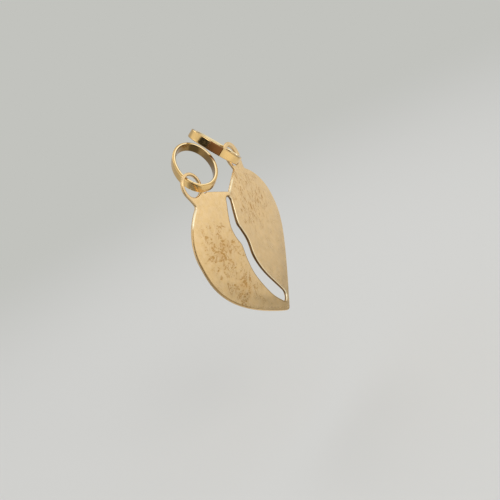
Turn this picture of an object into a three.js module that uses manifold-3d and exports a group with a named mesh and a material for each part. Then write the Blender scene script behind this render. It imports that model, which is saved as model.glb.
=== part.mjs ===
import * as THREE from 'three';
import { mergeVertices } from 'three/addons/utils/BufferGeometryUtils.js';
import Module from 'manifold-3d';

// Heart pendant of thin gold sheet. A wavy saw cut splits the heart down its middle,
// and two narrow necks, at the cleft and at the tip, still hold the halves together.
// The halves are bent back a little along those necks. Each lobe carries a flat eye,
// and an oval ring of flat strip, closed by a butt joint, passes through each eye.
// Sizes are in millimetres and degrees.
// X runs along the line of the eyes, the front faces -Y and Z is up.
// The origin lies where a chain or a peg passes through the tops of both rings.

// Sheet
const sheetThickness = 0.34;
const edgeRounding = 0.05;
const foldAngle = 10.8;

// Heart outline, flat, with the tip at the origin
const heartWidth = 18;
const lobeHeight = 15.84;
const lobePeakOffset = 3.4;
const cleftHeight = 14.4;
const cleftFlankRun = 3.25;
const lobeTopFullness = 2.1;
const lobeSideFullness = 3.11;
const widestHeight = 10.57;
const flankFullness = 2.65;
const tipFullness = 10.3;
const tipSlope = 33.9;
const tipSkew = 5;
const tipRounding = 0.5;

// Saw cut: centre line points from the cleft down to the tip, with the width at each
const sawCut = [
  { x: -0.82, y: 13.72, width: 0.88 },
  { x: -1.51, y: 12.5, width: 0.95 },
  { x: -2, y: 11.3, width: 1.01 },
  { x: -1.89, y: 10.35, width: 1.22 },
  { x: -1.68, y: 9.3, width: 1.1 },
  { x: -2, y: 7.7, width: 0.95 },
  { x: -1.94, y: 6.3, width: 1.14 },
  { x: -1.5, y: 4.85, width: 1.33 },
  { x: -0.63, y: 3.1, width: 1.57 },
  { x: 0.24, y: 1.85, width: 1.4 },
];
const neckOverlap = 0.1;

// Rings of flat strip
const ringLength = 6.58;
const ringWidth = 4.45;
const stripWidth = 0.92;
const stripThickness = 0.36;
const seamGap = 0.05;
const ringPoses = [
  {
    name: 'ring_left',
    side: -1,
    turn: -13,
    lean: 40.1,
    roll: 36,
    seamAngle: 242,
    seatInward: 0.42,
    seatForward: 0.7,
    seatDrop: 0.57,
  },
  {
    name: 'ring_right',
    side: 1,
    turn: 31.4,
    lean: 31.9,
    roll: -30.4,
    seamAngle: 170,
    seatInward: 0.05,
    seatForward: 0.37,
    seatDrop: 0.44,
  },
];

// Eyes: each hole takes the slanted strip with this clearance round it. The rim is a disc of
// its own, set a little off the hole, and below the angle of eyeLegTurn it runs on straight,
// as two legs, down to a foot inside the lobe
const eyeClearance = 0.18;
const eyeLift = 0.16;
const eyeLegTurn = 22;
const footDepth = 0.8;
const eyes = [
  { side: -1, holeOffset: 4.85, rimOffset: 4.87, rim: 0.33 },
  { side: 1, holeOffset: 4.38, rimOffset: 4.6, rim: 0.48 },
];

// Fineness of curves
const outlineDivisions = 24;
const slotDivisions = 48;
const eyeDivisions = 26;
const ringDivisions = 44;
const roundingSteps = 2;

const wasm = await Module();
wasm.setup();

const radians = THREE.MathUtils.degToRad;

// Gold of the plate, satin, and of the rings, polished
const plateGold = new THREE.MeshStandardMaterial({
  color: 0xd9b475,
  metalness: 1,
  roughness: 0.38,
});
const ringGold = new THREE.MeshStandardMaterial({
  color: 0xe0b566,
  metalness: 1,
  roughness: 0.16,
});

function solidFrom(geometry) {
  const bare = geometry.clone();
  bare.deleteAttribute('normal');
  bare.deleteAttribute('uv');
  const welded = mergeVertices(bare, 1e-5);
  return new wasm.Manifold(new wasm.Mesh({
    numProp: 3,
    vertProperties: new Float32Array(welded.attributes.position.array),
    triVerts: new Uint32Array(welded.index.array),
  }));
}

function geometryFrom(solid) {
  const mesh = solid.getMesh();
  const geometry = new THREE.BufferGeometry();
  geometry.setAttribute('position', new THREE.BufferAttribute(mesh.vertProperties, 3));
  geometry.setIndex(new THREE.BufferAttribute(mesh.triVerts, 1));
  geometry.computeVertexNormals();
  return geometry;
}

// A shape in XY as a plate with rounded edges, its front at z = 0 and its back behind
function roundedPlate(shape, thickness, divisions) {
  const geometry = new THREE.ExtrudeGeometry(shape, {
    depth: thickness - 2 * edgeRounding,
    bevelEnabled: true,
    bevelThickness: edgeRounding,
    bevelSize: edgeRounding,
    bevelOffset: -edgeRounding,
    bevelSegments: roundingSteps,
    curveSegments: divisions,
  });
  return geometry.translate(0, 0, edgeRounding - thickness);
}

// A point on the line on which one flank leaves the tip. The right flank is the steeper one
function fromTip(side, distance) {
  const slope = radians(tipSlope + side * tipSkew);
  return new THREE.Vector2(side * distance * Math.cos(slope), distance * Math.sin(slope));
}

// Outline of the heart: the right half from cleft to tip, then the left half back
function heartShape() {
  const halfWidth = heartWidth / 2;
  const lobeTopX = lobePeakOffset + lobeTopFullness;
  const lobeSideY = widestHeight + lobeSideFullness;
  const flankY = widestHeight - flankFullness;
  const [rightPull, leftPull] = [fromTip(1, tipFullness), fromTip(-1, tipFullness)];
  const [rightEnd, leftEnd] = [fromTip(1, tipRounding), fromTip(-1, tipRounding)];
  const shape = new THREE.Shape();
  shape.moveTo(0, cleftHeight);
  shape.quadraticCurveTo(cleftFlankRun, lobeHeight, lobePeakOffset, lobeHeight);
  shape.bezierCurveTo(lobeTopX, lobeHeight, halfWidth, lobeSideY, halfWidth, widestHeight);
  shape.bezierCurveTo(halfWidth, flankY, rightPull.x, rightPull.y, rightEnd.x, rightEnd.y);
  shape.quadraticCurveTo(0, 0, leftEnd.x, leftEnd.y);
  shape.bezierCurveTo(leftPull.x, leftPull.y, -halfWidth, flankY, -halfWidth, widestHeight);
  shape.bezierCurveTo(-halfWidth, lobeSideY, -lobeTopX, lobeHeight, -lobePeakOffset, lobeHeight);
  shape.quadraticCurveTo(-cleftFlankRun, lobeHeight, 0, cleftHeight);
  return shape;
}

// The saw cut's centre line, with the cut's width carried in z
const sawLine = new THREE.CatmullRomCurve3(
  sawCut.map((station) => new THREE.Vector3(station.x, station.y, station.width)),
  false,
  'centripetal',
);
const sawPoints = sawLine.getPoints(slotDivisions);

// Half circle from one point to another, on the right-hand side of the way between them
function roundEnd(from, to) {
  const centre = from.clone().add(to).multiplyScalar(0.5);
  const start = Math.atan2(from.y - centre.y, from.x - centre.x);
  const radius = from.distanceTo(to) / 2;
  const steps = 10;
  const points = [];
  for (let i = 1; i < steps; i += 1) {
    const angle = start + (Math.PI * i) / steps;
    const x = centre.x + radius * Math.cos(angle);
    const y = centre.y + radius * Math.sin(angle);
    points.push(new THREE.Vector2(x, y));
  }
  return points;
}

// Outline of the saw cut: down its left edge, round the lower end, up the right edge, round the top
function sawCutPath() {
  const leftEdge = [];
  const rightEdge = [];
  sawPoints.forEach((point, i) => {
    const before = sawPoints[Math.max(i - 1, 0)];
    const after = sawPoints[Math.min(i + 1, sawPoints.length - 1)];
    const along = new THREE.Vector2(after.x - before.x, after.y - before.y).normalize();
    const acrossX = (-along.y * point.z) / 2;
    const acrossY = (along.x * point.z) / 2;
    rightEdge.push(new THREE.Vector2(point.x + acrossX, point.y + acrossY));
    leftEdge.push(new THREE.Vector2(point.x - acrossX, point.y - acrossY));
  });
  const [topLeft, topRight] = [leftEdge[0], rightEdge[0]];
  const [lowLeft, lowRight] = [leftEdge[slotDivisions], rightEdge[slotDivisions]];
  const lowerEnd = roundEnd(lowLeft, lowRight);
  const topEnd = roundEnd(topRight, topLeft);
  return new THREE.Path([...leftEdge, ...lowerEnd, ...rightEdge.reverse(), ...topEnd]);
}

// Direction of a ring's axis in space, from its turn and lean
function ringRotation(pose) {
  return new THREE.Euler(-radians(pose.lean), radians(pose.roll), radians(pose.turn), 'ZXY');
}

// How far a slanted strip reaches from the middle of its eye, in the plane of the sheet
function crossingReach(pose) {
  const ringAxis = new THREE.Vector3(0, -1, 0).applyEuler(ringRotation(pose));
  const bend = radians(pose.side * foldAngle) / 2;
  const sheetNormal = new THREE.Vector3(Math.sin(bend), -Math.cos(bend), 0);
  const slant = ringAxis.angleTo(sheetNormal);
  return stripWidth / 2 / Math.sin(slant) + sheetThickness / 2 / Math.tan(slant);
}

const eyeHoleRadius = Math.max(...ringPoses.map(crossingReach)) + eyeClearance;
const eyeHeight = lobeHeight + eyeHoleRadius + eyeLift;

// One eye: its rim goes over the top, then straight down both legs to a foot inside the lobe
function eyeSolid(eye) {
  const centreX = eye.side * eye.rimOffset;
  const rimRadius = eyeHoleRadius + eye.rim;
  const legTurn = radians(eyeLegTurn);
  const footDrop = eyeHoleRadius + eyeLift + footDepth;
  const footX = (rimRadius - footDrop * Math.sin(legTurn)) / Math.cos(legTurn);
  const shape = new THREE.Shape();
  shape.absarc(centreX, eyeHeight, rimRadius, -legTurn, Math.PI + legTurn, false);
  shape.lineTo(centreX - footX, eyeHeight - footDrop);
  shape.lineTo(centreX + footX, eyeHeight - footDrop);
  const hole = new THREE.Path();
  hole.absarc(eye.side * eye.holeOffset, eyeHeight, eyeHoleRadius, 0, 2 * Math.PI);
  shape.holes.push(hole);
  return solidFrom(roundedPlate(shape, sheetThickness, eyeDivisions));
}

// The flat blank: heart, saw cut and both eyes
function flatBlank() {
  const shape = heartShape();
  shape.holes.push(sawCutPath());
  let blank = solidFrom(roundedPlate(shape, sheetThickness, outlineDivisions));
  eyes.forEach((eye) => {
    blank = blank.add(eyeSolid(eye));
  });
  return blank;
}

// A block that holds one half of the blank, up to the line where the halves part
function halfBlock(side) {
  const above = eyeHeight + 2 * eyeHoleRadius;
  const below = -heartWidth / 2;
  const far = side * heartWidth;
  const shift = (-side * neckOverlap) / 2;
  const parting = sawPoints.map((point) => new THREE.Vector2(point.x + shift, point.y));
  const outline = [
    new THREE.Vector2(far, above),
    new THREE.Vector2(shift, above),
    new THREE.Vector2(shift, cleftHeight),
    ...parting,
    new THREE.Vector2(shift, 0),
    new THREE.Vector2(shift, below),
    new THREE.Vector2(far, below),
  ];
  const block = new THREE.ExtrudeGeometry(new THREE.Shape(outline), {
    depth: 3 * sheetThickness,
    bevelEnabled: false,
  });
  return solidFrom(block.translate(0, 0, -2 * sheetThickness));
}

// The bend: each half turns back about the line through the middles of both necks
function bendOf(side) {
  const cleft = new THREE.Vector3(0, cleftHeight, 0);
  const tip = new THREE.Vector3(0, 0, 0);
  const cutStart = new THREE.Vector3(sawPoints[0].x, sawPoints[0].y, 0);
  const cutEnd = new THREE.Vector3(sawPoints[slotDivisions].x, sawPoints[slotDivisions].y, 0);
  const topNeck = cleft.add(cutStart).multiplyScalar(0.5);
  const lowNeck = tip.add(cutEnd).multiplyScalar(0.5);
  const axis = topNeck.sub(lowNeck).normalize();
  const angle = radians(side * foldAngle) / 2;
  const bend = new THREE.Matrix4().makeRotationAxis(axis, angle);
  bend.premultiply(new THREE.Matrix4().makeTranslation(lowNeck.x, lowNeck.y, lowNeck.z));
  bend.multiply(new THREE.Matrix4().makeTranslation(-lowNeck.x, -lowNeck.y, -lowNeck.z));
  return bend;
}

function heartSolid() {
  const blank = flatBlank();
  const halves = [-1, 1].map((side) => {
    const half = geometryFrom(blank.intersect(halfBlock(side)));
    return solidFrom(half.applyMatrix4(bendOf(side)));
  });
  return halves[0].add(halves[1]);
}

// Ring of strip, standing in XY with its lower end seated at the origin, open by its seam
function ringGeometry(seamAngle) {
  const halfLength = ringLength / 2;
  const halfWidth = ringWidth / 2;
  const halfSeam = seamGap / (halfLength + halfWidth);
  const from = radians(seamAngle) + halfSeam;
  const to = radians(seamAngle) + 2 * Math.PI - halfSeam;
  const shape = new THREE.Shape();
  shape.absellipse(0, 0, halfWidth, halfLength, from, to, false);
  const innerWidth = halfWidth - stripThickness;
  const innerLength = halfLength - stripThickness;
  shape.absellipse(0, 0, innerWidth, innerLength, to, from, true);
  const geometry = roundedPlate(shape, stripWidth, ringDivisions);
  return geometry.translate(0, halfLength - stripThickness / 2, stripWidth / 2);
}

// Flat drawing coordinates, XY with the front at +Z, stood up with the front at -Y
const stand = new THREE.Matrix4().makeRotationX(Math.PI / 2);

function seatOf(pose) {
  const eye = eyes.find((one) => one.side === pose.side);
  const seat = new THREE.Vector3(eye.side * eye.holeOffset, eyeHeight, -sheetThickness / 2);
  seat.applyMatrix4(bendOf(pose.side)).applyMatrix4(stand);
  seat.x -= pose.side * pose.seatInward;
  seat.y -= pose.seatForward;
  seat.z -= pose.seatDrop;
  return seat;
}

// Inner top of a ring, where what holds the pendant bears on it
function hangPointOf(pose) {
  const reach = ringLength - 1.5 * stripThickness;
  const top = new THREE.Vector3(0, 0, reach).applyEuler(ringRotation(pose));
  return top.add(seatOf(pose));
}

function hangLine() {
  const tops = ringPoses.map(hangPointOf);
  const middle = tops[0].add(tops[1]).multiplyScalar(0.5);
  return new THREE.Vector3(0, middle.y, middle.z);
}

const pendant = new THREE.Group();
const origin = hangLine();

const heartPlate = new THREE.Mesh(geometryFrom(heartSolid()), plateGold);
heartPlate.name = 'heart_plate';
heartPlate.rotation.x = Math.PI / 2;
heartPlate.position.copy(origin).negate();
pendant.add(heartPlate);

ringPoses.forEach((pose) => {
  const seat = new THREE.Group();
  seat.position.copy(seatOf(pose)).sub(origin);
  seat.rotation.copy(ringRotation(pose));
  const ring = new THREE.Mesh(ringGeometry(pose.seamAngle), ringGold);
  ring.name = pose.name;
  ring.rotation.x = Math.PI / 2;
  seat.add(ring);
  pendant.add(seat);
});

export default pendant;
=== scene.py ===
"""Heart pendant: a sawn gold heart with two eyes, and two strip rings that pass through them.

The plate is meshed here from its outline, finer than its frame solid. One Geometry Nodes
tree makes both rings. Lengths in the code are millimetres until a mesh is finished.
"""

import math
import bpy
import numpy as np
from mathutils import Euler, Matrix, Vector, kdtree
from mathutils.geometry import delaunay_2d_cdt, intersect_line_line_2d


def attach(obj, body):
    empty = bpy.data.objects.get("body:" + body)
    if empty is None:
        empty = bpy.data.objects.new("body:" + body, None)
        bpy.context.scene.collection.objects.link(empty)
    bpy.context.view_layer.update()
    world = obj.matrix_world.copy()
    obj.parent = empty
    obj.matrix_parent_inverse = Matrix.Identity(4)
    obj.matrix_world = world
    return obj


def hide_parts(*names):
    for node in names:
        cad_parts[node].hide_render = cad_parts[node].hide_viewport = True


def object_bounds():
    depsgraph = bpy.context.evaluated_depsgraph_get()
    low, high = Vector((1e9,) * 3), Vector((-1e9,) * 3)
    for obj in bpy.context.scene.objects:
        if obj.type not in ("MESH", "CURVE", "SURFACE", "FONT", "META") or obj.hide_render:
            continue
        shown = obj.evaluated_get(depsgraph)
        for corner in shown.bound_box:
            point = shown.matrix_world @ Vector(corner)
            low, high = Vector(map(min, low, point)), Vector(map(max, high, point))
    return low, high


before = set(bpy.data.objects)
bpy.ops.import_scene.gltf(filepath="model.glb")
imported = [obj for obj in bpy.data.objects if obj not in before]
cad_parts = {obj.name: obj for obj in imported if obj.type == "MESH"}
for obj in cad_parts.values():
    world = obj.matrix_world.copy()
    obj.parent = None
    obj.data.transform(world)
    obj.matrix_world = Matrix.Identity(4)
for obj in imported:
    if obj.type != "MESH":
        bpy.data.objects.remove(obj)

CAD_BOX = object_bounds()

bl_info = {
    "name": "Heart Pendant",
    "version": (1, 0, 0),
    "blender": (4, 5, 0),
    "location": "View3D > Sidebar > Heart Pendant",
    "description": "Makes a sawn gold heart with two strip rings, its metal finishes and its stage",
    "category": "Add Mesh",
}

MM = 0.001

# Flat heart, tip at the origin, as the frame has it. Pulls are the reaches of the outline's
# handles, and angles are in degrees.
HEART_WIDTH = 18.0
LOBE_HEIGHT = 15.84
LOBE_PEAK = 3.4
CLEFT_HEIGHT = 14.4
CLEFT_RUN = 3.25
LOBE_TOP_PULL = 2.1
LOBE_SIDE_PULL = 3.11
WIDEST_HEIGHT = 10.57
FLANK_PULL = 2.65
TIP_PULL = 10.3
TIP_SLOPE = 33.9
TIP_SKEW = 5.0
TIP_ROUND = 0.5
FOLD_ANGLE = 10.8

# Stations of the saw cut from the top down: place across, height, and width of the cut
SAW_STATIONS = (
    (-0.82, 13.72, 0.88),
    (-1.51, 12.5, 0.95),
    (-2.0, 11.3, 1.01),
    (-1.89, 10.35, 1.22),
    (-1.68, 9.3, 1.1),
    (-2.0, 7.7, 0.95),
    (-1.94, 6.3, 1.14),
    (-1.5, 4.85, 1.33),
    (-0.63, 3.1, 1.57),
    (0.24, 1.85, 1.4),
)

# Eyes: how far out the middles of the hole and of the outer line lie on the left, -1, and
# the right, 1, then the hole's radius, its lift off the lobe, and the legs' turn and depth
HOLE_OFFSET = {-1: 4.85, 1: 4.38}
RIM_OFFSET = {-1: 4.87, 1: 4.6}
EYE_HOLE = 1.0924
EYE_LIFT = 0.16
EYE_LEG_TURN = 22.0
EYE_FOOT = 0.8

# Softening where an eye's legs meet the lobe, inner leg then outer: points to each side of
# the corner, and passes
LEG_CORNERS = ((4, 12), (5, 16))

# The worn front falls a little towards the rim: by how much, and over what distance
DOME_DROP = 0.08
DOME_REACH = 1.8

# Steps of the outline's curves from cleft to tip, and of the plate's other curves
OUTLINE_STEPS = (60, 120, 190, 8)
EYE_STEPS = 110
LEG_STEPS = 10
HOLE_STEPS = 96
SAW_STEPS = 160
SAW_END_STEPS = 20

# Spacing of the plate's points along its edges and over its faces, where rows lie closer by
# a share, and start and stop a little past the metal
EDGE_STEP = 0.075
FACE_STEP = 0.3
ROW_SHARE = 0.866
GRID_MARGIN = 0.2
GRID_TOP = 19.0
GRID_GAP = 0.14

# Rows of points over a rounded edge, in degrees from the wall, and a flat row past them
ROUND_ROWS = (24, 44, 62, 78, 90)
PAST_ROUND = 1.35

# How near the saw cut a border point counts as its wall, and half the width of the bent neck
AT_SLOT = 0.02
NECK_BLEND = 0.4

# Where the flat heart's origin lies in the frame
PLATE_PLACE = Vector((0.0, -1.581, -20.6676))

# Each ring: seat in the frame, turn, lean and roll, seam angle in degrees, and how strong
# the red-brown tint by the seam and the painted shade on the inner wall are
RINGS = {
    "ring_left": ((-4.3949, -1.7057, -4.1438), (-13.0, 40.1, 36.0), 242.0, 0.0, 1.0),
    "ring_right": ((4.2922, -1.3198, -4.0167), (31.4, 31.9, -30.4), 170.0, 1.0, 0.15),
}
RING_STEPS = 260
CORNER_STEPS = 5


def length(name, default, about):
    return bpy.props.FloatProperty(
        name=name, description=about, default=default * MM, min=0.0,
        subtype="DISTANCE", unit="LENGTH", precision=6)


def colour(name, default, about):
    return bpy.props.FloatVectorProperty(
        name=name, description=about, default=(*default, 1.0), size=4, min=0.0, max=1.0,
        subtype="COLOR")


class PlateSizes(bpy.types.PropertyGroup):
    """Sizes and colours of the sawn heart"""
    thickness: length("Thickness", 0.34, "Thickness of the sheet")
    left_rim: length("Left Eye Rim", 0.33, "Width of the metal round the left eye hole")
    right_rim: length("Right Eye Rim", 0.48, "Width of the metal round the right eye hole")
    front_round: length("Front Rounding", 0.1, "Radius of the worn front edge")
    back_round: length("Back Rounding", 0.05, "Radius of the back edge")
    saw_round: length("Saw Cut Rounding", 0.1, "Radius of the edges along the saw cut")
    gold: colour("Gold", (0.85, 0.62, 0.335), "Clean gold of the plate")
    deep_gold: colour("Deep Gold", (0.80, 0.55, 0.23), "Yellower gold in patches")
    worn: colour("Worn Gold", (0.50, 0.25, 0.05), "Gold in scratches and smudges")
    # Dull sawn metal on the saw cut's walls, darkened further as painted shade
    sawn: colour("Sawn Wall", (0.27, 0.155, 0.06), "Dull metal inside the saw cut")
    # Painted highlight along some of the plate's edges and the saw cut's right lip
    bright: colour("Bright Edge", (1.0, 0.87, 0.60), "Gold lightened as a painted highlight")
    # Painted shade along part of the outline and the saw cut's left lip
    painted_shade: colour("Shaded Edge", (0.42, 0.27, 0.11), "Gold darkened along an edge")
    wear: bpy.props.FloatProperty(
        name="Wear", description="How strongly scratches, pits and smudges show",
        default=0.85, min=0.0, max=1.0, subtype="FACTOR")


class RingSizes(bpy.types.PropertyGroup):
    """Sizes and colours of both rings"""
    long_side: length("Length", 6.58, "Outer length of a ring")
    short_side: length("Width", 4.45, "Outer width of a ring")
    strip_width: length("Strip Width", 0.92, "Width of the flat strip")
    strip_thickness: length("Strip Thickness", 0.36, "Thickness of the flat strip")
    edge_round: length("Edge Rounding", 0.11, "Radius of the strip's edges")
    seam_gap: length("Seam Gap", 0.05, "Opening of the butt joint")
    gold: colour("Gold", (0.84, 0.575, 0.24), "Polished gold of the rings")
    # Painted highlight on the rings' side faces towards the inner wall
    bright: colour("Bright Edge", (1.0, 0.86, 0.56), "Gold lightened as a painted highlight")
    # Painted shade on the inner wall and in a band on the side faces
    inside: colour("Inside", (0.29, 0.18, 0.065), "Gold darkened as painted shade on the inner wall")
    # A red-brown tint beside the butt joint
    seam_tint: colour("Seam Tint", (0.25, 0.105, 0.035), "Red tarnish beside the butt joint")


class StageSettings(bpy.types.PropertyGroup):
    """Floor and light"""
    floor: colour("Floor", (0.69, 0.69, 0.67), "Colour of the pale floor")
    surround: colour("Surround", (0.54, 0.545, 0.515), "Tone far behind the pendant")
    drop: length("Floor Drop", 12.0, "Height of the heart's tip above the floor")
    softness: length("Lamp Size", 90.0, "Side of the soft lamps")


# Node helpers

def node(tree, kind, **values):
    """A new node. Names of sockets set their values, other names set the node's own fields."""
    made = tree.nodes.new(kind)
    for key, value in values.items():
        if hasattr(made, key) and key not in made.inputs:
            setattr(made, key, value)
    for key, value in values.items():
        if key in made.inputs:
            made.inputs[key].default_value = value
    return made


def wire(tree, out, into):
    tree.links.new(out, into)


def fed(tree, socket, value):
    """Gives a socket a value, or a wire where the value is another socket."""
    if isinstance(value, bpy.types.NodeSocket):
        wire(tree, value, socket)
    else:
        socket.default_value = value


def maths(tree, operation, first, second=None, clamp=False):
    made = tree.nodes.new("ShaderNodeMath")
    made.operation = operation
    made.use_clamp = clamp
    fed(tree, made.inputs[0], first)
    if second is not None:
        fed(tree, made.inputs[1], second)
    return made.outputs[0]


def times(tree, first, second):
    return maths(tree, "MULTIPLY", first, second)


def less(tree, first, second):
    return maths(tree, "SUBTRACT", first, second)


def total(tree, first, *others):
    for other in others:
        first = maths(tree, "ADD", first, other)
    return first


def most(tree, first, *others):
    for other in others:
        first = maths(tree, "MAXIMUM", first, other)
    return first


def ease(tree, value, low, high, to_low=0.0, to_high=1.0):
    """Smooth step of a value from one range to another."""
    made = tree.nodes.new("ShaderNodeMapRange")
    made.interpolation_type = "SMOOTHSTEP"
    for name, number in (("From Min", low), ("From Max", high),
                         ("To Min", to_low), ("To Max", to_high)):
        made.inputs[name].default_value = number
    wire(tree, value, made.inputs["Value"])
    return made.outputs["Result"]


def blend_colour(tree, factor, first, second, kind="MIX"):
    made = tree.nodes.new("ShaderNodeMix")
    made.data_type = "RGBA"
    made.blend_type = kind
    sockets = (made.inputs["Factor"], made.inputs[6], made.inputs[7])
    for socket, value in zip(sockets, (factor, first, second)):
        fed(tree, socket, value)
    return made.outputs[2]


def attribute(tree, name):
    return node(tree, "ShaderNodeAttribute", attribute_name=name).outputs["Fac"]


def noise(tree, place, scale, detail, roughness=0.6, wavy=0.0):
    made = node(tree, "ShaderNodeTexNoise", Scale=scale, Detail=detail, Roughness=roughness,
                Distortion=wavy)
    wire(tree, place, made.inputs["Vector"])
    return made.outputs["Fac"]


def turned_noise(tree, place, turn, stretch, detail, offset=0.0, wavy=0.0):
    """Noise on the plate's plane, stretched along one direction of it."""
    mapping = tree.nodes.new("ShaderNodeMapping")
    mapping.vector_type = "TEXTURE"
    mapping.inputs["Location"].default_value = (offset, 0.0, offset)
    mapping.inputs["Rotation"].default_value = (0.0, math.radians(turn), 0.0)
    mapping.inputs["Scale"].default_value = (1.0 / stretch[0], 1.0, 1.0 / stretch[1])
    wire(tree, place, mapping.inputs["Vector"])
    return noise(tree, mapping.outputs[0], 1.0, detail, 0.55, wavy)


def near(tree, place, spot, ragged=0.0):
    """1 near a spot's middle, falling to 0 at its reach. Both are in millimetres."""
    middle, reach = spot
    away = node(tree, "ShaderNodeVectorMath", operation="DISTANCE")
    away.inputs[1].default_value = middle
    wire(tree, place, away.inputs[0])
    distance = total(tree, away.outputs["Value"], ragged)
    return ease(tree, distance, reach, reach * FULL_SHARE)


def new_metal(name):
    """A material with its shader, and the piece's own place in millimetres."""
    material = bpy.data.materials.new(name)
    material.use_nodes = True
    tree = material.node_tree
    shader = tree.nodes["Principled BSDF"]
    shader.inputs["Metallic"].default_value = 1.0
    where = tree.nodes.new("ShaderNodeTexCoord")
    place = node(tree, "ShaderNodeVectorMath", operation="SCALE", Scale=1.0 / MM)
    wire(tree, where.outputs["Object"], place.inputs[0])
    return material, tree, shader, place.outputs[0]


def bump_into(tree, shader, height, depth):
    """A bump whose height of 1 stands for the given depth in millimetres."""
    bump = node(tree, "ShaderNodeBump", Strength=1.0, Distance=depth * MM)
    wire(tree, height, bump.inputs["Height"])
    wire(tree, bump.outputs[0], shader.inputs["Normal"])


# Finishes

# Spots on the plate where wear gathers, where shade and highlights are painted on the edges,
# and where the saw cut's walls keep their gold: middle in the frame, and reach. A spot is at
# its full strength within a share of the reach.
SMUDGES = (((-5.4, -1.1, -10.7), 3.4), ((-4.9, -1.1, -15.0), 2.8))
SCRATCHED = ((3.4, -1.3, -8.4), 4.2)
SHADE_SPOT = ((-8.9, -0.8, -11.5), 9.0)
SAW_END = (0.84, -1.5, -19.1)
HIGHLIGHT_SPOTS = (((-6.7, -0.9, -6.1), 1.5), ((0.9, -1.5, -5.8), 1.6), (SAW_END, 1.0))
UNDARKENED_SAW_END = (SAW_END, 1.1)
FULL_SHARE = 0.45

# Bands along the plate's edges, by the distance from the edge: where each fades out, and
# where it is full. Shade is painted in one edge band and on the saw cut's left lip, and
# highlights in another and on its right lip. Along the saw cut the distance is negative on
# the left half, and 0 on the back, so a lip starts just off 0.
WALL = (0.02, 0.0)
HIGHLIGHT_EDGE = (0.2, 0.1)
SHADE_EDGE = (0.17, 0.09)
SHADE_LEFT_LIP = (-0.2, -0.08)
HIGHLIGHT_RIGHT_LIP = (0.16, 0.08)
LIP_START = 0.003
INNER_FACE = (0.05, 0.5)

# Veins in the smudges: turn, stretch, offset, half width, and the patch levels they need
VEINS = ((20.0, (0.6, 1.3), 1.0, 0.065, (0.46, 0.56)),
         (-60.0, (0.7, 1.6), 5.0, 0.06, (0.52, 0.42)))

# Hair scratches: turn, stretch, offset, and the noise levels where they start and are full
HAIRS = ((-94.0, (1.3, 5.5), 5.0, (0.56, 0.64)), (-60.0, (1.5, 6.5), 9.0, (0.57, 0.65)))

# Pits and smudges: the levels where they fade out and are full. Away from the worn spots
# a share of the hairs and of the pits is left.
PITS = (0.16, 0.06)
DULL_PATCHES = (0.42, 0.66)
USUAL_HAIRS = 0.12
USUAL_PITS = 0.15
DULL_TONE = 0.35

# The back takes its pattern from this much further back, so it has wear of its own
BACK_SHIFT = 6.0


def own_pattern(tree, place, behind):
    """The place that patterns read, shifted on the back."""
    shift = node(tree, "ShaderNodeCombineXYZ")
    wire(tree, times(tree, behind, BACK_SHIFT), shift.inputs["Y"])
    shifted = node(tree, "ShaderNodeVectorMath", operation="ADD")
    wire(tree, place, shifted.inputs[0])
    wire(tree, shift.outputs[0], shifted.inputs[1])
    return shifted.outputs[0]


def veins(tree, place, patch):
    """Fine crossing veins, one kind where the patches are high and one where they are low."""
    kinds = []
    for turn, stretch, offset, width, levels in VEINS:
        level = turned_noise(tree, place, turn, stretch, 4.0, offset)
        away = maths(tree, "ABSOLUTE", less(tree, level, 0.5))
        kinds.append(times(tree, ease(tree, away, width, 0.0), ease(tree, patch, *levels)))
    return most(tree, *kinds)


def hairs(tree, place):
    """Hair scratches in two directions."""
    kinds = []
    for turn, stretch, offset, levels in HAIRS:
        hair = turned_noise(tree, place, turn, stretch, 3.0, offset, 0.9)
        kinds.append(ease(tree, hair, *levels))
    return most(tree, *kinds)


def plate_wear(tree, place, behind, cloud, patch):
    """Scratches, pits and dull smudges, each from 0 to 1."""
    ragged = ease(tree, cloud, 0.35, 0.65, -1.1, 1.1)
    left = most(tree, *(near(tree, place, spot, ragged) for spot in SMUDGES))
    right = near(tree, place, SCRATCHED, ragged)
    usual = total(tree, times(tree, behind, USUAL_HAIRS), USUAL_HAIRS)
    scratch = most(tree, times(tree, veins(tree, place, patch), left),
                   times(tree, hairs(tree, place), total(tree, right, usual)))
    cells = node(tree, "ShaderNodeTexVoronoi", Scale=1.5, Randomness=1.0)
    wire(tree, place, cells.inputs["Vector"])
    pit = ease(tree, cells.outputs["Distance"], *PITS)
    pit = maths(tree, "MULTIPLY", pit, total(tree, left, USUAL_PITS), clamp=True)
    dull = times(tree, ease(tree, cloud, *DULL_PATCHES), left)
    return scratch, pit, dull


def edge_shade_and_highlight(tree, place, rim, cut, wall):
    """Painted shade and painted highlights along edges, each from 0 to 1."""
    # Painted shade along the outline near its spot, kept off the wall, and along the saw cut's left
    # lip
    painted_shade = times(tree, ease(tree, rim, *SHADE_EDGE), near(tree, place, SHADE_SPOT))
    painted_shade = times(tree, painted_shade, less(tree, 1.0, wall))
    shade_left_lip = times(tree, ease(tree, cut, *SHADE_LEFT_LIP),
                     maths(tree, "LESS_THAN", cut, -LIP_START))
    highlight_right_lip = times(tree, ease(tree, cut, *HIGHLIGHT_RIGHT_LIP),
                      maths(tree, "GREATER_THAN", cut, LIP_START))
    # Painted highlight along the saw cut's right lip, and along the edges near the highlight spots
    bright = times(tree, highlight_right_lip, 0.6)
    to_edge = maths(tree, "MINIMUM", rim, maths(tree, "ABSOLUTE", cut))
    edge = ease(tree, to_edge, *HIGHLIGHT_EDGE)
    for spot in HIGHLIGHT_SPOTS:
        bright = most(tree, bright, times(tree, edge, near(tree, place, spot)))
    return most(tree, painted_shade, shade_left_lip), bright


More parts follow.
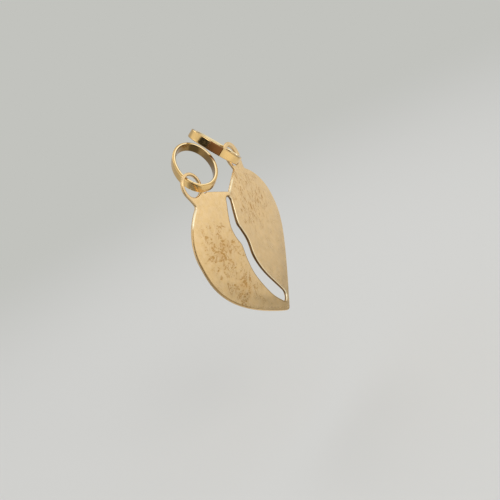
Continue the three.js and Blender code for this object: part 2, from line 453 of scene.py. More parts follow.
def satin_gold(sizes):
    """Satin gold with fine scratches, pits and dull smudges, painted shade and painted highlights
    along some edges, and saw cut walls of dull metal darkened by painted shade.
    """
    material, tree, shader, place = new_metal("satin_gold")
    behind, rim, cut, sawn = (attribute(tree, name) for name in ("behind", "rim", "cut", "sawn"))
    place = own_pattern(tree, place, behind)
    cloud = noise(tree, place, 1.1, 4.0)
    patch = noise(tree, place, 2.1, 2.0, 0.5)
    grain = turned_noise(tree, place, 62.0, (1.5, 16.0), 3.0)
    fine = turned_noise(tree, place, -38.0, (2.0, 24.0), 2.0, 7.0)
    scratch, pit, dull = plate_wear(tree, place, behind, cloud, patch)
    wall = ease(tree, rim, *WALL)
    inner = ease(tree, rim, *INNER_FACE)
    # Painted shade and painted highlights along the edges
    painted_shade, bright = edge_shade_and_highlight(tree, place, rim, cut, wall)
    # The saw cut's walls are dull sawn metal darkened by painted shade, except at the cut's lower
    # end
    sawn_dark = times(tree, sawn, less(tree, 1.0, near(tree, place, UNDARKENED_SAW_END)))

    mark = most(tree, scratch, pit, times(tree, dull, DULL_TONE))
    mark = maths(tree, "MULTIPLY", mark, sizes.wear, clamp=True)
    # The colour takes patches, wear marks, painted shade, painted highlights and the darkened saw
    # cut walls
    tone = tuple(sizes.gold)
    for amount, finish in ((ease(tree, patch, 0.35, 0.65, 0.0, 0.4), sizes.deep_gold),
                           (mark, sizes.worn), (painted_shade, sizes.painted_shade),
                           (bright, sizes.bright), (sawn_dark, sizes.sawn)):
        tone = blend_colour(tree, amount, tone, tuple(finish))
    mottle = times(tree, ease(tree, cloud, 0.3, 0.7, 0.93, 1.04),
                   ease(tree, grain, 0.25, 0.75, 0.97, 1.03))
    tone = blend_colour(tree, 1.0, tone, mottle, "MULTIPLY")
    wire(tree, tone, shader.inputs["Base Color"])

    rough = total(tree, times(tree, inner, 0.1), 0.2, times(tree, sawn, 0.2),
                  times(tree, wall, 0.3), times(tree, dull, 0.12),
                  ease(tree, cloud, 0.3, 0.7, -0.03, 0.04))
    wire(tree, rough, shader.inputs["Roughness"])
    height = total(tree, times(tree, grain, 0.35), times(tree, fine, 0.35))
    height = less(tree, height, times(tree, scratch, 0.25))
    height = less(tree, height, times(tree, pit, 0.4))
    bump_into(tree, shader, times(tree, height, inner), 0.008)
    return material


# Bands across the rings' strip, from -0.5 on the inner wall to 0.5 outside, as shares of its
# thickness: where each fades out, and where it is full. Shade is painted on the inner wall
# and in a band on the side faces, and a highlight on the side faces towards the inner wall.
SHADED_INNER_WALL = (-0.22, -0.34)
HIGHLIGHT_CORNER = (0.02, -0.1)
SHADE_BAND = ((0.04, 0.2), (0.46, 0.3))
OFF_INNER_WALL = (-0.3, -0.1)

# How far along the strip the red-brown tint starts and is full
RED_START = (0.9, 0.915)


def polished_gold(sizes):
    """Polished gold with faint wear, a red-brown tint towards the end of its strip, painted
    shade on the inner wall and in a band on the side faces, and a painted highlight beside it.
    """
    material, tree, shader, place = new_metal("polished_gold")
    cloud = noise(tree, place, 1.6, 3.0)
    wear = noise(tree, place, 9.0, 3.0)
    across = attribute(tree, "inside")
    along = total(tree, attribute(tree, "seam_tint"), ease(tree, wear, 0.3, 0.7, -0.008, 0.008))
    # A red-brown tint towards the strip's end, kept off the inner wall
    red = times(tree, ease(tree, along, *RED_START), ease(tree, across, *OFF_INNER_WALL))
    # Painted shade in a band on the side faces
    shade_band = times(tree, ease(tree, across, *SHADE_BAND[0]), ease(tree, across, *SHADE_BAND[1]))
    # Painted shade on the inner wall, as strong as the ring's own factor for it
    inner = times(tree, ease(tree, across, *SHADED_INNER_WALL), attribute(tree, "dull"))
    # Painted highlight on the side faces towards the inner wall
    corner = ease(tree, across, *HIGHLIGHT_CORNER)
    # The colour takes painted shade in the side band, the painted highlight, painted shade on the
    # inner wall and the red-brown tint
    tone = tuple(sizes.gold)
    for amount, finish in ((times(tree, shade_band, 0.6), sizes.inside), (corner, sizes.bright),
                           (inner, sizes.inside), (red, sizes.seam_tint)):
        tone = blend_colour(tree, amount, tone, tuple(finish))
    mottle = ease(tree, wear, 0.3, 0.7, 0.95, 1.03)
    tone = blend_colour(tree, 1.0, tone, mottle, "MULTIPLY")
    wire(tree, tone, shader.inputs["Base Color"])
    rough = total(tree, times(tree, red, 0.3), ease(tree, cloud, 0.3, 0.7, 0.10, 0.18))
    wire(tree, rough, shader.inputs["Roughness"])
    bump_into(tree, shader, wear, 0.004)
    return material


# Outline of the flat heart

def bezier(points, steps):
    """Points along a quadratic or cubic curve, without the last one."""
    out = []
    last = len(points) - 1
    for i in range(steps):
        t = i / steps
        place = Vector((0.0, 0.0))
        for k, point in enumerate(points):
            place += Vector(point) * (math.comb(last, k) * (1 - t) ** (last - k) * t ** k)
        out.append(place)
    return out


def from_tip(side, distance):
    slope = math.radians(TIP_SLOPE + side * TIP_SKEW)
    return Vector((side * distance * math.cos(slope), distance * math.sin(slope)))


def half_outline(side):
    """One side of the heart, from the cleft down to the tip."""
    half = HEART_WIDTH / 2
    top = LOBE_HEIGHT
    peak = (side * LOBE_PEAK, top)
    widest = (side * half, WIDEST_HEIGHT)
    low = from_tip(side, TIP_ROUND)
    middle = (low + from_tip(-side, TIP_ROUND)) / 4
    curves = (((0.0, CLEFT_HEIGHT), (side * CLEFT_RUN, top), peak),
              (peak, (side * (LOBE_PEAK + LOBE_TOP_PULL), top),
               (side * half, WIDEST_HEIGHT + LOBE_SIDE_PULL), widest),
              (widest, (side * half, WIDEST_HEIGHT - FLANK_PULL),
               from_tip(side, TIP_PULL), low),
              (low, low / 2, middle))
    points = []
    for curve, steps in zip(curves, OUTLINE_STEPS):
        points += bezier(curve, steps)
    return points


def eye_middle(side, offset):
    return Vector((side * offset[side], LOBE_HEIGHT + EYE_HOLE + EYE_LIFT))


def eye_outline(side, radius):
    """Outer line of an eye: up one leg, over the top and down the other."""
    middle = eye_middle(side, RIM_OFFSET)
    turn = math.radians(EYE_LEG_TURN)
    drop = EYE_HOLE + EYE_LIFT + EYE_FOOT
    foot = (radius - drop * math.sin(turn)) / math.cos(turn)
    first = middle + Vector((side * foot, -drop))
    last = middle + Vector((-side * foot, -drop))
    arc = []
    for i in range(EYE_STEPS + 1):
        angle = -turn + (math.pi + 2 * turn) * i / EYE_STEPS
        arc.append(middle + Vector((side * radius * math.cos(angle), radius * math.sin(angle))))
    up = [first.lerp(arc[0], i / LEG_STEPS) for i in range(LEG_STEPS)]
    down = [arc[-1].lerp(last, (i + 1) / LEG_STEPS) for i in range(LEG_STEPS)]
    return up + arc + down


def crossing(line, other):
    """First place where one line crosses another: its index on each, and the point."""
    for i in range(len(line) - 1):
        for k in range(len(other) - 1):
            point = intersect_line_line_2d(line[i], line[i + 1], other[k], other[k + 1])
            if point is not None:
                return i, k, point
    raise RuntimeError("The eye doesn't meet the lobe")


def smooth_corner(line, index, reach, passes):
    """Rounds the corner of a line at an index, in place."""
    for _ in range(passes):
        copy = [point.copy() for point in line]
        for i in range(index - reach, index + reach + 1):
            line[i] = (copy[i - 1] + copy[i] * 2 + copy[i + 1]) / 4


def side_with_eye(side, radius):
    """One side of the heart from cleft to tip, over its eye."""
    lobe = half_outline(side)
    eye = eye_outline(side, radius)[::-1]
    enter, eye_enter, first = crossing(lobe, eye)
    leave, eye_leave, last = crossing(lobe[::-1], eye[::-1])
    leave = len(lobe) - 1 - leave
    eye_leave = len(eye) - 1 - eye_leave
    line = lobe[:enter + 1] + [first] + eye[eye_enter + 1:eye_leave]
    corners = (enter + 1, len(line))
    line += [last] + lobe[leave:]
    for corner, (reach, passes) in zip(corners, LEG_CORNERS):
        smooth_corner(line, corner, reach, passes)
    return line


def evened(loop, step):
    """A closed loop with points at an even spacing near the step given."""
    points = np.array([tuple(point) for point in loop + [loop[0]]])
    along = np.r_[0.0, np.cumsum(np.hypot(*np.diff(points, axis=0).T))]
    count = int(round(along[-1] / step))
    places = np.linspace(0.0, along[-1], count, endpoint=False)
    xs = np.interp(places, along, points[:, 0])
    ys = np.interp(places, along, points[:, 1])
    return np.c_[xs, ys]


def catmull(points, steps):
    """Centripetal curve through points, the way the frame's saw line runs."""
    points = [Vector(point) for point in points]
    ends = [points[0] * 2 - points[1]] + points + [points[-1] * 2 - points[-2]]
    out = []
    for i in range(steps + 1):
        along = i / steps * (len(points) - 1)
        k = min(int(along), len(points) - 2)
        t = along - k
        p0, p1, p2, p3 = ends[k:k + 4]
        gaps = [max((b - a).length ** 0.5, 1e-6) for a, b in ((p0, p1), (p1, p2), (p2, p3))]
        slope1 = ((p1 - p0) / gaps[0] - (p2 - p0) / (gaps[0] + gaps[1])
                  + (p2 - p1) / gaps[1]) * gaps[1]
        slope2 = ((p2 - p1) / gaps[1] - (p3 - p1) / (gaps[1] + gaps[2])
                  + (p3 - p2) / gaps[2]) * gaps[1]
        out.append(p1 * (2 * t ** 3 - 3 * t ** 2 + 1) + slope1 * (t ** 3 - 2 * t ** 2 + t)
                   + p2 * (3 * t ** 2 - 2 * t ** 3) + slope2 * (t ** 3 - t ** 2))
    return out


def round_end(start, stop):
    """Points of a half circle from start to stop, without these two."""
    middle = (start + stop) / 2
    reach = (start - stop).length / 2
    first = math.atan2(start.y - middle.y, start.x - middle.x)
    angles = [first + math.pi * i / SAW_END_STEPS for i in range(1, SAW_END_STEPS)]
    return [middle + Vector((math.cos(angle), math.sin(angle))) * reach for angle in angles]


def saw_cut(line):
    """Both edges of the saw cut as one closed loop with round ends."""
    left, right = [], []
    for i, point in enumerate(line):
        before, after = line[max(i - 1, 0)], line[min(i + 1, len(line) - 1)]
        along = Vector((after.x - before.x, after.y - before.y)).normalized()
        across = Vector((-along.y, along.x)) * point.z / 2
        right.append(point.xy + across)
        left.append(point.xy - across)
    return (left + round_end(left[-1], right[-1]) + right[::-1]
            + round_end(right[0], left[0]))


def hole_loop(side):
    angles = np.linspace(0, 2 * math.pi, HOLE_STEPS, endpoint=False)
    circle = np.c_[np.cos(angles), np.sin(angles)] * EYE_HOLE
    return circle + np.array(tuple(eye_middle(side, HOLE_OFFSET)))


# The plate as flat triangles

def turning(loop):
    """1 for a loop that runs anticlockwise, otherwise -1."""
    x, y = loop[:, 0], loop[:, 1]
    return 1.0 if (x * np.roll(y, -1) - y * np.roll(x, -1)).sum() > 0 else -1.0


def shifted_left(loop, distance):
    """The loop moved sideways, to the left of the way that it runs."""
    before = np.roll(loop, 1, axis=0)
    after = np.roll(loop, -1, axis=0)
    first = (loop - before) / np.linalg.norm(loop - before, axis=1)[:, None]
    second = (after - loop) / np.linalg.norm(after - loop, axis=1)[:, None]
    along = first + second
    along /= np.linalg.norm(along, axis=1)[:, None]
    normal = np.c_[-along[:, 1], along[:, 0]]
    grow = 1.0 / np.maximum((along * first).sum(axis=1), 0.8)
    return loop + normal * (distance * grow)[:, None]


def inside(loop, points):
    """Which points lie inside a closed loop."""
    hit = np.zeros(len(points), dtype=bool)
    x, y = points[:, 0], points[:, 1]
    for (ax, ay), (bx, by) in zip(loop, np.roll(loop, -1, axis=0)):
        span = (ay > y) != (by > y)
        if span.any():
            cross = ax + (y[span] - ay) * (bx - ax) / (by - ay)
            hit[span] ^= x[span] < cross
    return hit


def on_metal(points, outer, openings):
    """Which points lie inside the outline and outside its openings."""
    keep = inside(outer, points)
    for opening in openings:
        keep &= ~inside(opening, points)
    return keep


def denser(loop):
    """The loop with every step cut in four and its own points kept, so that these are at 0."""
    ahead = np.roll(loop, -1, axis=0)
    return np.vstack([loop + (ahead - loop) * part for part in (0.0, 0.25, 0.5, 0.75)])


class Distances:
    """Distance from a point of the sheet to the nearest point of some loops."""

    def __init__(self, loops):
        points = np.vstack(loops)
        self.tree = kdtree.KDTree(len(points))
        for i, (x, y) in enumerate(points):
            self.tree.insert((x, y, 0.0), i)
        self.tree.balance()

    def to(self, point):
        return self.tree.find((point[0], point[1], 0.0))[2]


def edge_rows(outer, slot, holes, front_round, saw_round):
    """Rows of points that follow every edge, from the edge to just past its rounding."""
    rows = []
    kinds = [(outer, front_round, 1), (slot, saw_round, -1)]
    kinds += [(hole, front_round, -1) for hole in holes]
    for loop, radius, sign in kinds:
        into_metal = turning(loop) * sign
        rows.append(loop)
        for angle in ROUND_ROWS:
            depth = radius * (1 - math.cos(math.radians(angle)))
            rows.append(shifted_left(loop, depth * into_metal))
        rows.append(shifted_left(loop, radius * PAST_ROUND * into_metal))
    return rows


def face_grid():
    """Staggered points over the whole box of the sheet."""
    reach = HEART_WIDTH / 2 + GRID_MARGIN
    grid = []
    for j, y in enumerate(np.arange(-GRID_MARGIN, GRID_TOP, FACE_STEP * ROW_SHARE)):
        stagger = FACE_STEP / 2 if j % 2 else 0.0
        grid += [(x + stagger, y) for x in np.arange(-reach, reach, FACE_STEP)]
    return np.array(grid)


def flat_triangles(outer, slot, holes, front_round, saw_round):
    """Corners and triangles of the flat sheet, fine along its edges."""
    openings = [slot] + holes
    rows = edge_rows(outer, slot, holes, front_round, saw_round)
    edges, start = [], 0
    for row in rows:
        count = len(row)
        edges += [(start + i, start + (i + 1) % count) for i in range(count)]
        start += count
    grid = face_grid()
    grid = grid[on_metal(grid, outer, openings)]
    nearest = Distances([outer] + openings)
    clear = front_round * PAST_ROUND + GRID_GAP
    grid = [point for point in grid if nearest.to(point) > clear]
    flat = [Vector(point) for point in np.vstack(rows + [grid])]
    verts, _, faces, _, _, _ = delaunay_2d_cdt(flat, edges, [], 0, 1e-7)
    middles = np.array([tuple((verts[a] + verts[b] + verts[c]) / 3) for a, b, c in faces])
    faces = [face for face, kept in zip(faces, on_metal(middles, outer, openings)) if kept]
    used = sorted({corner for face in faces for corner in face})
    number = {old: new for new, old in enumerate(used)}
    faces = [tuple(number[corner] for corner in face) for face in faces]
    return [verts[old] for old in used], faces


# The plate as a solid

def rounding(distance, radius):
    """How far a rounded edge falls below the face at a distance from the edge."""
    if distance >= radius:
        return 0.0
    return radius - math.sqrt(max(radius ** 2 - (radius - distance) ** 2, 0.0))


def smooth_share(value):
    value = min(max(value, 0.0), 1.0)
    return value * value * (3 - 2 * value)


def bend_matrix(side, saw_line):
    """Turn of one half about the line through the middles of both necks."""
    top = (Vector((0.0, CLEFT_HEIGHT)) + saw_line[0].xy) / 2
    low = saw_line[-1].xy / 2
    axis = (top - low).normalized().to_3d()
    turn = Matrix.Rotation(math.radians(side * FOLD_ANGLE) / 2, 4, axis)
    return Matrix.Translation(low.to_3d()) @ turn @ Matrix.Translation(-low.to_3d())


def parting_line(saw_line):
    """The line between the halves, on past the cleft and the tip."""
    line = [Vector((0.0, 2 * LOBE_HEIGHT)), Vector((0.0, CLEFT_HEIGHT))]
    line += [point.xy for point in saw_line[::4]]
    return line + [Vector((0.0, 0.0)), Vector((0.0, -LOBE_HEIGHT))]


def beside(point, line):
    """Signed distance from a line of points, positive to its right as it runs down."""
    best, signed = 1e9, 0.0
    for a, b in zip(line, line[1:]):
        run = b - a
        t = min(max((point - a).dot(run) / run.dot(run), 0.0), 1.0)
        off = point - (a + run * t)
        if off.length < best:
            best = off.length
            signed = best if run.cross(off) > 0 else -best
    return signed


def border_walls(faces, count):
    """Walls between the borders of the front and of the back, count points further on."""
    runs = dict.fromkeys(edge for a, b, c in faces for edge in ((a, b), (b, c), (c, a)))
    return [(b, a, a + count, b + count) for a, b in runs if (b, a) not in runs]


# Flat coordinates stood up: the front faces -Y
STAND = Matrix(((1, 0, 0, 0), (0, 0, -1, 0), (0, 1, 0, 0), (0, 0, 0, 1)))


def finished_mesh(name, points, faces, material, smooth):
    mesh = bpy.data.meshes.new(name)
    mesh.from_pydata(points, [], faces)
    mesh.validate()
    mesh.polygons.foreach_set("use_smooth", smooth)
    mesh.materials.append(material)
    piece = bpy.data.objects.new(name, mesh)
    bpy.context.scene.collection.objects.link(piece)
    return piece


def plate_mesh(sizes, material):
    """The whole plate as one closed mesh, bent at its necks and stood up in the frame."""
    thick, front_round, back_round, saw_round = (
        value / MM for value in (sizes.thickness, sizes.front_round, sizes.back_round,
                                 sizes.saw_round))
    right = side_with_eye(1, EYE_HOLE + sizes.right_rim / MM)
    left = side_with_eye(-1, EYE_HOLE + sizes.left_rim / MM)
    outer = evened(right + left[1:][::-1], EDGE_STEP)
    saw_line = catmull(SAW_STATIONS, SAW_STEPS)
    slot = evened(saw_cut(saw_line), EDGE_STEP)
    holes = [hole_loop(side) for side in (-1, 1)]
    verts, faces = flat_triangles(outer, slot, holes, front_round, saw_round)

    to_outer, to_slot, to_hole = (Distances([denser(loop) for loop in loops])
                                  for loops in ([outer], [slot], holes))
    parting = parting_line(saw_line)
    turn = {side: bend_matrix(side, saw_line) for side in (-1, 1)}
    front, back, rim, cut, at_slot = [], [], [], [], []
    for vert in verts:
        to_rim = min(to_outer.to(vert), to_hole.to(vert))
        to_cut = to_slot.to(vert)
        on_right = smooth_share((beside(vert, parting) + NECK_BLEND) / (2 * NECK_BLEND))
        fall = max(rounding(to_rim, front_round), rounding(to_cut, saw_round))
        fall += DOME_DROP * (1 - smooth_share(to_rim / DOME_REACH))
        rise = rounding(min(to_rim, to_cut), back_round)
        for store, height in ((front, -fall), (back, rise - thick)):
            flat = Vector((vert.x, vert.y, height))
            bent = (turn[-1] @ flat).lerp(turn[1] @ flat, on_right)
            store.append(((STAND @ bent) + PLATE_PLACE) * MM)
        rim.append(min(to_rim, 1.0))
        cut.append(min(to_cut, 1.0) * (1.0 if on_right > 0.5 else -1.0))
        at_slot.append(to_cut < AT_SLOT)

    count = len(verts)
    walls = border_walls(faces, count)
    flats = faces + [tuple(corner + count for corner in face[::-1]) for face in faces]
    smooth = [True] * len(flats) + [False] * len(walls)
    piece = finished_mesh("sawn_heart", front + back, flats + walls, material, smooth)
    ends = {corner for wall in walls for corner in wall[:2]}
    sawn = [1.0 if near_slot and i in ends else 0.0 for i, near_slot in enumerate(at_slot)]
    no, yes = [0.0] * count, [1.0] * count
    for name, values in (("rim", rim + rim), ("sawn", sawn + sawn), ("cut", cut + no),
                         ("behind", no + yes)):
        layer = piece.data.attributes.new(name, "FLOAT", "POINT")
        layer.data.foreach_set("value", values)
    return piece


# The ring tree

def ring_lengths(sizes):
    """A ring's lengths, by the names of the tree's inputs."""
    return {
        "Length": sizes.long_side,
        "Width": sizes.short_side,
        "Strip Width": sizes.strip_width,
        "Strip Thickness": sizes.strip_thickness,
        "Edge Rounding": sizes.edge_round,
        "Seam Gap": sizes.seam_gap,
    }


def new_ring_tree(lengths):
    """An empty tree with the ring's named inputs, and these inputs' sockets."""
    tree = bpy.data.node_groups.new("oval_strip_ring", "GeometryNodeTree")
    face = tree.interface
    numbers = [(name, "DISTANCE", value) for name, value in lengths.items()]
    # The last two factors set the red-brown tint by the seam and the painted shade on the inner
    # wall
    numbers += [("Seam Angle", "ANGLE", 0.0), ("Seam Tint", "FACTOR", 0.0),
                ("Inside Shade", "FACTOR", 1.0)]
    for name, subtype, default in numbers:
        socket = face.new_socket(name, in_out="INPUT", socket_type="NodeSocketFloat")
        socket.default_value = default
        socket.subtype = subtype
    for name, kind in (("Seat", "Vector"), ("Slant", "Rotation"), ("Gold", "Material")):
        face.new_socket(name, in_out="INPUT", socket_type="NodeSocket" + kind)
    face.new_socket("Ring", in_out="OUTPUT", socket_type="NodeSocketGeometry")
    return tree, tree.nodes.new("NodeGroupInput").outputs


def chained(tree, geometry, kind, **sources):
    """A node that takes the geometry, with its other inputs wired to these sources."""
    made = tree.nodes.new(kind)
    wire(tree, geometry, made.inputs["Geometry"])
    for name, source in sources.items():
        wire(tree, source, made.inputs[name])
    return made


def stored(tree, geometry, name, value):
    """The geometry with a value on its points, under a name that the finish reads."""
    made = chained(tree, geometry, "GeometryNodeStoreNamedAttribute", Value=value)
    made.inputs["Name"].default_value = name
    return made.outputs[0]


def half_middle(tree, given, name):
    """Half the strip's middle line in one direction."""
    return times(tree, less(tree, given[name], given["Strip Thickness"]), 0.5)


def oval_line(tree, given):
    """The strip's middle line, open at the butt joint."""
    half_long, half_short = (half_middle(tree, given, name) for name in ("Length", "Width"))
    line = node(tree, "GeometryNodeCurvePrimitiveLine")
    points = node(tree, "GeometryNodeResampleCurve", Count=RING_STEPS)
    wire(tree, line.outputs["Curve"], points.inputs["Curve"])
    along = node(tree, "GeometryNodeSplineParameter").outputs["Factor"]
    gap = maths(tree, "DIVIDE", given["Seam Gap"], total(tree, half_long, half_short))
    sweep = less(tree, 2 * math.pi, times(tree, gap, 2.0))
    angle = total(tree, given["Seam Angle"], gap, times(tree, along, sweep))
    place = node(tree, "ShaderNodeCombineXYZ")
    for axis, wave, half in (("X", "COSINE", half_short), ("Y", "SINE", half_long)):
        wire(tree, times(tree, maths(tree, wave, angle), half), place.inputs[axis])
    oval = chained(tree, points.outputs["Curve"], "GeometryNodeSetPosition",
                   Position=place.outputs[0])
    # The share along the strip, for the red-brown tint by the seam
    with_seam_tint = stored(tree, oval.outputs[0], "seam_tint", times(tree, along, given["Seam Tint"]))
    # How strong the painted shade on the inner wall is
    with_inner_shade = stored(tree, with_seam_tint, "dull", given["Inside Shade"])
    normals = node(tree, "GeometryNodeSetCurveNormal", mode="Z_UP")
    wire(tree, with_inner_shade, normals.inputs["Curve"])
    return normals.outputs[0]


def strip_profile(tree, given):
    """The strip's cut end with soft corners. Its points know how far across they lie."""
    strip = node(tree, "GeometryNodeCurvePrimitiveQuadrilateral")
    wire(tree, given["Strip Thickness"], strip.inputs["Width"])
    wire(tree, given["Strip Width"], strip.inputs["Height"])
    softened = node(tree, "GeometryNodeFilletCurve", mode="POLY", Count=CORNER_STEPS)
    wire(tree, strip.outputs[0], softened.inputs["Curve"])
    wire(tree, given["Edge Rounding"], softened.inputs["Radius"])
    where = node(tree, "ShaderNodeSeparateXYZ")
    wire(tree, tree.nodes.new("GeometryNodeInputPosition").outputs[0], where.inputs[0])
    across = maths(tree, "DIVIDE", where.outputs["X"], given["Strip Thickness"])
    return stored(tree, softened.outputs[0], "inside", across)


def ring_tree(lengths):
    """Oval ring of flat strip with a butt joint, from named sizes."""
    tree, given = new_ring_tree(lengths)
    solid = tree.nodes.new("GeometryNodeCurveToMesh")
    solid.inputs["Fill Caps"].default_value = True
    wire(tree, oval_line(tree, given), solid.inputs["Curve"])
    wire(tree, strip_profile(tree, given), solid.inputs["Profile Curve"])
    lift = node(tree, "ShaderNodeCombineXYZ")
    wire(tree, half_middle(tree, given, "Length"), lift.inputs["Z"])
    upright = chained(tree, solid.outputs["Mesh"], "GeometryNodeTransform",
                      Translation=lift.outputs[0])
    upright.inputs["Rotation"].default_value = Euler((math.pi / 2, 0.0, 0.0))
    seated = chained(tree, upright.outputs[0], "GeometryNodeTransform",
                     Translation=given["Seat"], Rotation=given["Slant"])
    smooth = chained(tree, seated.outputs[0], "GeometryNodeSetShadeSmooth")
    real = chained(tree, smooth.outputs[0], "GeometryNodeRealizeInstances")
    coat = chained(tree, real.outputs[0], "GeometryNodeSetMaterial", Material=given["Gold"])
    wire(tree, coat.outputs[0], tree.nodes.new("NodeGroupOutput").inputs["Ring"])
    return tree


def baked(tree, values, name):
    """The tree's result with these inputs, as a plain mesh object."""
    holder = bpy.data.objects.new("holder", bpy.data.meshes.new("holder"))
    bpy.context.scene.collection.objects.link(holder)
    maker = holder.modifiers.new("maker", "NODES")
    maker.node_group = tree
    for item in tree.interface.items_tree:
        if item.in_out == "INPUT" and item.name in values:
            maker[item.identifier] = values[item.name]
    shown = holder.evaluated_get(bpy.context.evaluated_depsgraph_get())
    mesh = bpy.data.meshes.new_from_object(shown)
    bpy.data.objects.remove(holder)
    if not mesh.polygons:
        raise RuntimeError("The tree made nothing for " + name)
    mesh.name = name
    piece = bpy.data.objects.new(name, mesh)
    bpy.context.scene.collection.objects.link(piece)
    return piece


def slanted(turns):
    """The rotation that turns, leans and rolls a ring by angles in degrees."""
    turn, lean, roll = (math.radians(value) for value in turns)
    return (Matrix.Rotation(turn, 3, "Z") @ Matrix.Rotation(-lean, 3, "X")
            @ Matrix.Rotation(roll, 3, "Y")).to_euler()


# Operators for the pieces

class MakeHeart(bpy.types.Operator):
    """Make the sawn heart plate with its eyes"""
    bl_idname = "heart_pendant.make_heart"
    bl_label = "Make Sawn Heart"

    def execute(self, context):
        sizes = context.scene.heart_pendant_plate
        piece = plate_mesh(sizes, satin_gold(sizes))
        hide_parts("heart_plate")
        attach(piece, "heart")
        return {"FINISHED"}


class MakeRings(bpy.types.Operator):
    """Make both strip rings from one tree"""
    bl_idname = "heart_pendant.make_rings"
    bl_label = "Make Strip Rings"

    def execute(self, context):
        sizes = context.scene.heart_pendant_rings
        lengths = ring_lengths(sizes)
        tree = ring_tree(lengths)
        coat = polished_gold(sizes)
        for node_name, (seat, turns, seam, seam_tint, dull) in RINGS.items():
            values = dict(lengths)
            values["Seam Angle"] = math.radians(seam)
            values["Seam Tint"] = seam_tint
            # How strong the painted shade on the inner wall is
            values["Inside Shade"] = dull
            values["Seat"] = [part * MM for part in seat]
            values["Slant"] = slanted(turns)
            values["Gold"] = coat
            piece = baked(tree, values, "strip_" + node_name)
            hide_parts(node_name)
            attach(piece, node_name.split("_")[1] + "_ring")
        return {"FINISHED"}


# Where the camera stands: degrees, and millimetres from the plate's middle
VIEW_TURN = -56.85
VIEW_RISE = 12.8
VIEW_ROLL = 26.93
VIEW_DISTANCE = 72.0
VIEW_MIDDLE = Vector((0.0, -1.581, -11.0676))
VIEW_LENS = 49.76
VIEW_SHIFT = (-0.0024, -0.0362)

# The floor's radius, and the distances where it starts to fade and is faded, in metres
FLOOR_REACH = 0.9
FLOOR_FADE = (0.05, 0.3)
FLOOR_STEPS = 96

# Soft lamps: name, place in millimetres, and power in watts
LAMPS = (("front_lamp", (-60, -150, 90), 0.05), ("top_lamp", (60, 40, 170), 0.04))
FILL_LEVEL = 0.8

# The studio as the metal shows it: a level, then panels as turn, rise, full and outer
# angle in degrees, and the change of the level
STUDIO_LEVEL = 0.8
STUDIO_DARKEST = 0.03
STUDIO_TINT = (1.0, 0.985, 0.955, 1.0)
STUDIO_PANELS = (
    (-74, 2, 24, 37, -0.77),
    (-67, 6, 1, 4, 0.15),
    (-150, 62, 12, 40, 0.1),
    (-25, 5, 8, 30, 0.25),
    (-120, -36, 22, 42, -0.5),
    (-127, 22, 12, 24, 0.6),
    (36, 0, 6, 34, 0.26),
    (42, -32, 6, 21, -0.57),
    (70, -32, 6, 21, -0.49),
    (68, -13, 3, 16, 0.03),
    (58, 44, 8, 22, 0.32),
    (10, 18, 4, 16, 0.45),
    (-45, 24, 8, 20, -0.5),
    (150, 10, 32, 60, -0.3),
    (8, -52, 10, 26, 0.2),
)


def direction_at(turn, rise):
    """Unit vector at an angle round from the front, towards +X, and above the horizon."""
    turn, rise = math.radians(turn), math.radians(rise)
    return Vector((math.sin(turn) * math.cos(rise), -math.cos(turn) * math.cos(rise),
                   math.sin(rise)))


def place_camera(scene):
    turn, roll = math.radians(VIEW_TURN), math.radians(VIEW_ROLL)
    back = direction_at(VIEW_TURN, VIEW_RISE)
    right = Vector((math.cos(turn), math.sin(turn), 0.0))
    up = back.cross(right)
    across = right * math.cos(roll) - up * math.sin(roll)
    above = right * math.sin(roll) + up * math.cos(roll)
    lens = bpy.data.cameras.new("camera")
    lens.sensor_width = 36.0
    lens.lens = VIEW_LENS
    lens.shift_x, lens.shift_y = VIEW_SHIFT
    lens.clip_start = MM
    camera = bpy.data.objects.new("camera", lens)
    scene.collection.objects.link(camera)
    turned = Matrix((across, above, back)).transposed().to_4x4()
    camera.matrix_world = Matrix.Translation((VIEW_MIDDLE + back * VIEW_DISTANCE) * MM) @ turned
    scene.camera = camera


def soft_lamp(scene, name, place, power, size):
    """A square lamp that faces the pendant. Its place is in millimetres, its size in metres."""
    light = bpy.data.lights.new(name, "AREA")
    light.shape = "SQUARE"
    light.size = size
    light.energy = power
    lamp = bpy.data.objects.new(name, light)
    lamp.location = Vector(place) * MM
    toward = VIEW_MIDDLE * MM - lamp.location
    lamp.rotation_euler = toward.to_track_quat("-Z", "Y").to_euler()
    scene.collection.objects.link(lamp)


def shown_rays(tree):
    """1 for camera, glossy and transmission rays, and the glossy ones alone."""
    rays = tree.nodes.new("ShaderNodeLightPath").outputs
    glossy = rays["Is Glossy Ray"]
    return most(tree, rays["Is Camera Ray"], glossy, rays["Is Transmission Ray"]), glossy


def mixed_shader(tree, factor, first, second):
    mixed = tree.nodes.new("ShaderNodeMixShader")
    for socket, source in zip(mixed.inputs, (factor, first, second)):
        wire(tree, source, socket)
    return mixed.outputs[0]


def studio_tone(tree, direction):
    """How light the studio is in a direction, as polished metal shows it."""
    tone = STUDIO_LEVEL
    for turn, rise, full, none, change in STUDIO_PANELS:
        toward = node(tree, "ShaderNodeVectorMath", operation="DOT_PRODUCT")
        toward.inputs[1].default_value = direction_at(turn, rise)
        wire(tree, direction, toward.inputs[0])
        panel = ease(tree, toward.outputs["Value"], math.cos(math.radians(none)),
                     math.cos(math.radians(full)), 0.0, change)
        tone = total(tree, panel, tone)
    return most(tree, tone, STUDIO_DARKEST)


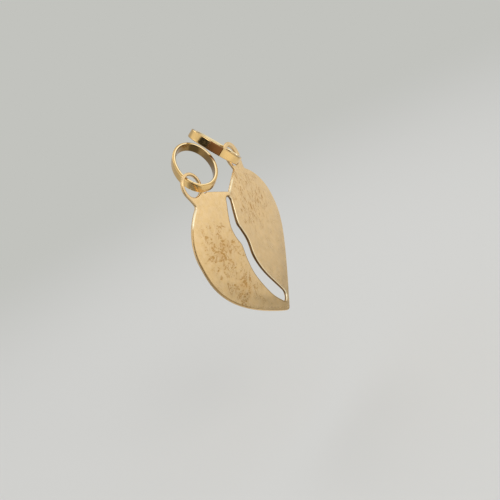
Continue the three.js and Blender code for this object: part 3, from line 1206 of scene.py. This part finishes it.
def floor_material(settings):
    """Pale floor that fades into the surrounding tone far from the pendant. The metal
    mirrors the studio in its place."""
    material = bpy.data.materials.new("pale_floor")
    material.use_nodes = True
    tree = material.node_tree
    tree.nodes.remove(tree.nodes["Principled BSDF"])
    where = tree.nodes.new("ShaderNodeTexCoord")
    away = node(tree, "ShaderNodeVectorMath", operation="LENGTH")
    wire(tree, where.outputs["Object"], away.inputs[0])
    seen, glossy = shown_rays(tree)
    matt = node(tree, "ShaderNodeBsdfDiffuse", Color=tuple(settings.floor))
    glow = node(tree, "ShaderNodeEmission", Color=tuple(settings.surround), Strength=1.0)
    clear = tree.nodes.new("ShaderNodeBsdfTransparent")
    far = times(tree, ease(tree, away.outputs["Value"], *FLOOR_FADE), seen)
    faded = mixed_shader(tree, far, matt.outputs[0], glow.outputs[0])
    shown = mixed_shader(tree, glossy, faded, clear.outputs[0])
    wire(tree, shown, tree.nodes["Material Output"].inputs["Surface"])
    return material


def light_world(scene, settings):
    """A white fill for the lighting, the studio for gloss, and a plain tone for the camera."""
    world = bpy.data.worlds.new("studio")
    world.use_nodes = True
    tree = world.node_tree
    direction = tree.nodes.new("ShaderNodeTexCoord").outputs["Generated"]
    rays, glossy = shown_rays(tree)
    shade = blend_colour(tree, 1.0, STUDIO_TINT, studio_tone(tree, direction), "MULTIPLY")
    shade = blend_colour(tree, glossy, tuple(settings.surround), shade)
    seen = node(tree, "ShaderNodeBackground", Strength=1.0)
    wire(tree, shade, seen.inputs["Color"])
    fill = tree.nodes["Background"]
    fill.inputs["Color"].default_value = (1.0, 1.0, 1.0, 1.0)
    fill.inputs["Strength"].default_value = FILL_LEVEL
    mixed = mixed_shader(tree, rays, fill.outputs[0], seen.outputs[0])
    wire(tree, mixed, tree.nodes["World Output"].inputs["Surface"])
    scene.world = world


class SetStage(bpy.types.Operator):
    """Make the floor, the soft lamps, the surrounding light and the camera"""
    bl_idname = "heart_pendant.set_stage"
    bl_label = "Set Stage"

    def execute(self, context):
        scene = context.scene
        settings = scene.heart_pendant_stage
        level = CAD_BOX[0][2] - settings.drop
        angles = [2 * math.pi * i / FLOOR_STEPS for i in range(FLOOR_STEPS)]
        circle = [(FLOOR_REACH * math.cos(angle), FLOOR_REACH * math.sin(angle), level)
                  for angle in angles]
        floor = finished_mesh("floor", circle, [tuple(range(FLOOR_STEPS))],
                              floor_material(settings), [False])
        for name, place, power in LAMPS:
            soft_lamp(scene, name, place, power, settings.softness)
        light_world(scene, settings)
        place_camera(scene)
        scene.view_settings.view_transform = "Standard"
        return {"FINISHED"}


class HEART_PENDANT_PT_panel(bpy.types.Panel):
    """Sizes, colours and makers of the heart pendant"""
    bl_label = "Heart Pendant"
    bl_idname = "HEART_PENDANT_PT_panel"
    bl_space_type = "VIEW_3D"
    bl_region_type = "UI"
    bl_category = "Heart Pendant"

    def draw(self, context):
        for group, operator in zip(GROUPS, (MakeHeart, MakeRings, SetStage)):
            box = self.layout.box()
            settings = getattr(context.scene, "heart_pendant_" + group)
            for name in settings.bl_rna.properties.keys():
                if name not in ("rna_type", "name"):
                    box.prop(settings, name)
            box.operator(operator.bl_idname)


GROUPS = {"plate": PlateSizes, "rings": RingSizes, "stage": StageSettings}
CLASSES = (PlateSizes, RingSizes, StageSettings, MakeHeart, MakeRings, SetStage,
           HEART_PENDANT_PT_panel)


def register():
    for cls in CLASSES:
        bpy.utils.register_class(cls)
    for name, group in GROUPS.items():
        pointer = bpy.props.PointerProperty(type=group)
        setattr(bpy.types.Scene, "heart_pendant_" + name, pointer)


def unregister():
    for name in GROUPS:
        delattr(bpy.types.Scene, "heart_pendant_" + name)
    for cls in reversed(CLASSES):
        bpy.utils.unregister_class(cls)


def main():
    register()
    bpy.ops.heart_pendant.make_heart()
    bpy.ops.heart_pendant.make_rings()
    bpy.ops.heart_pendant.set_stage()


if __name__ == "__main__":
    main()
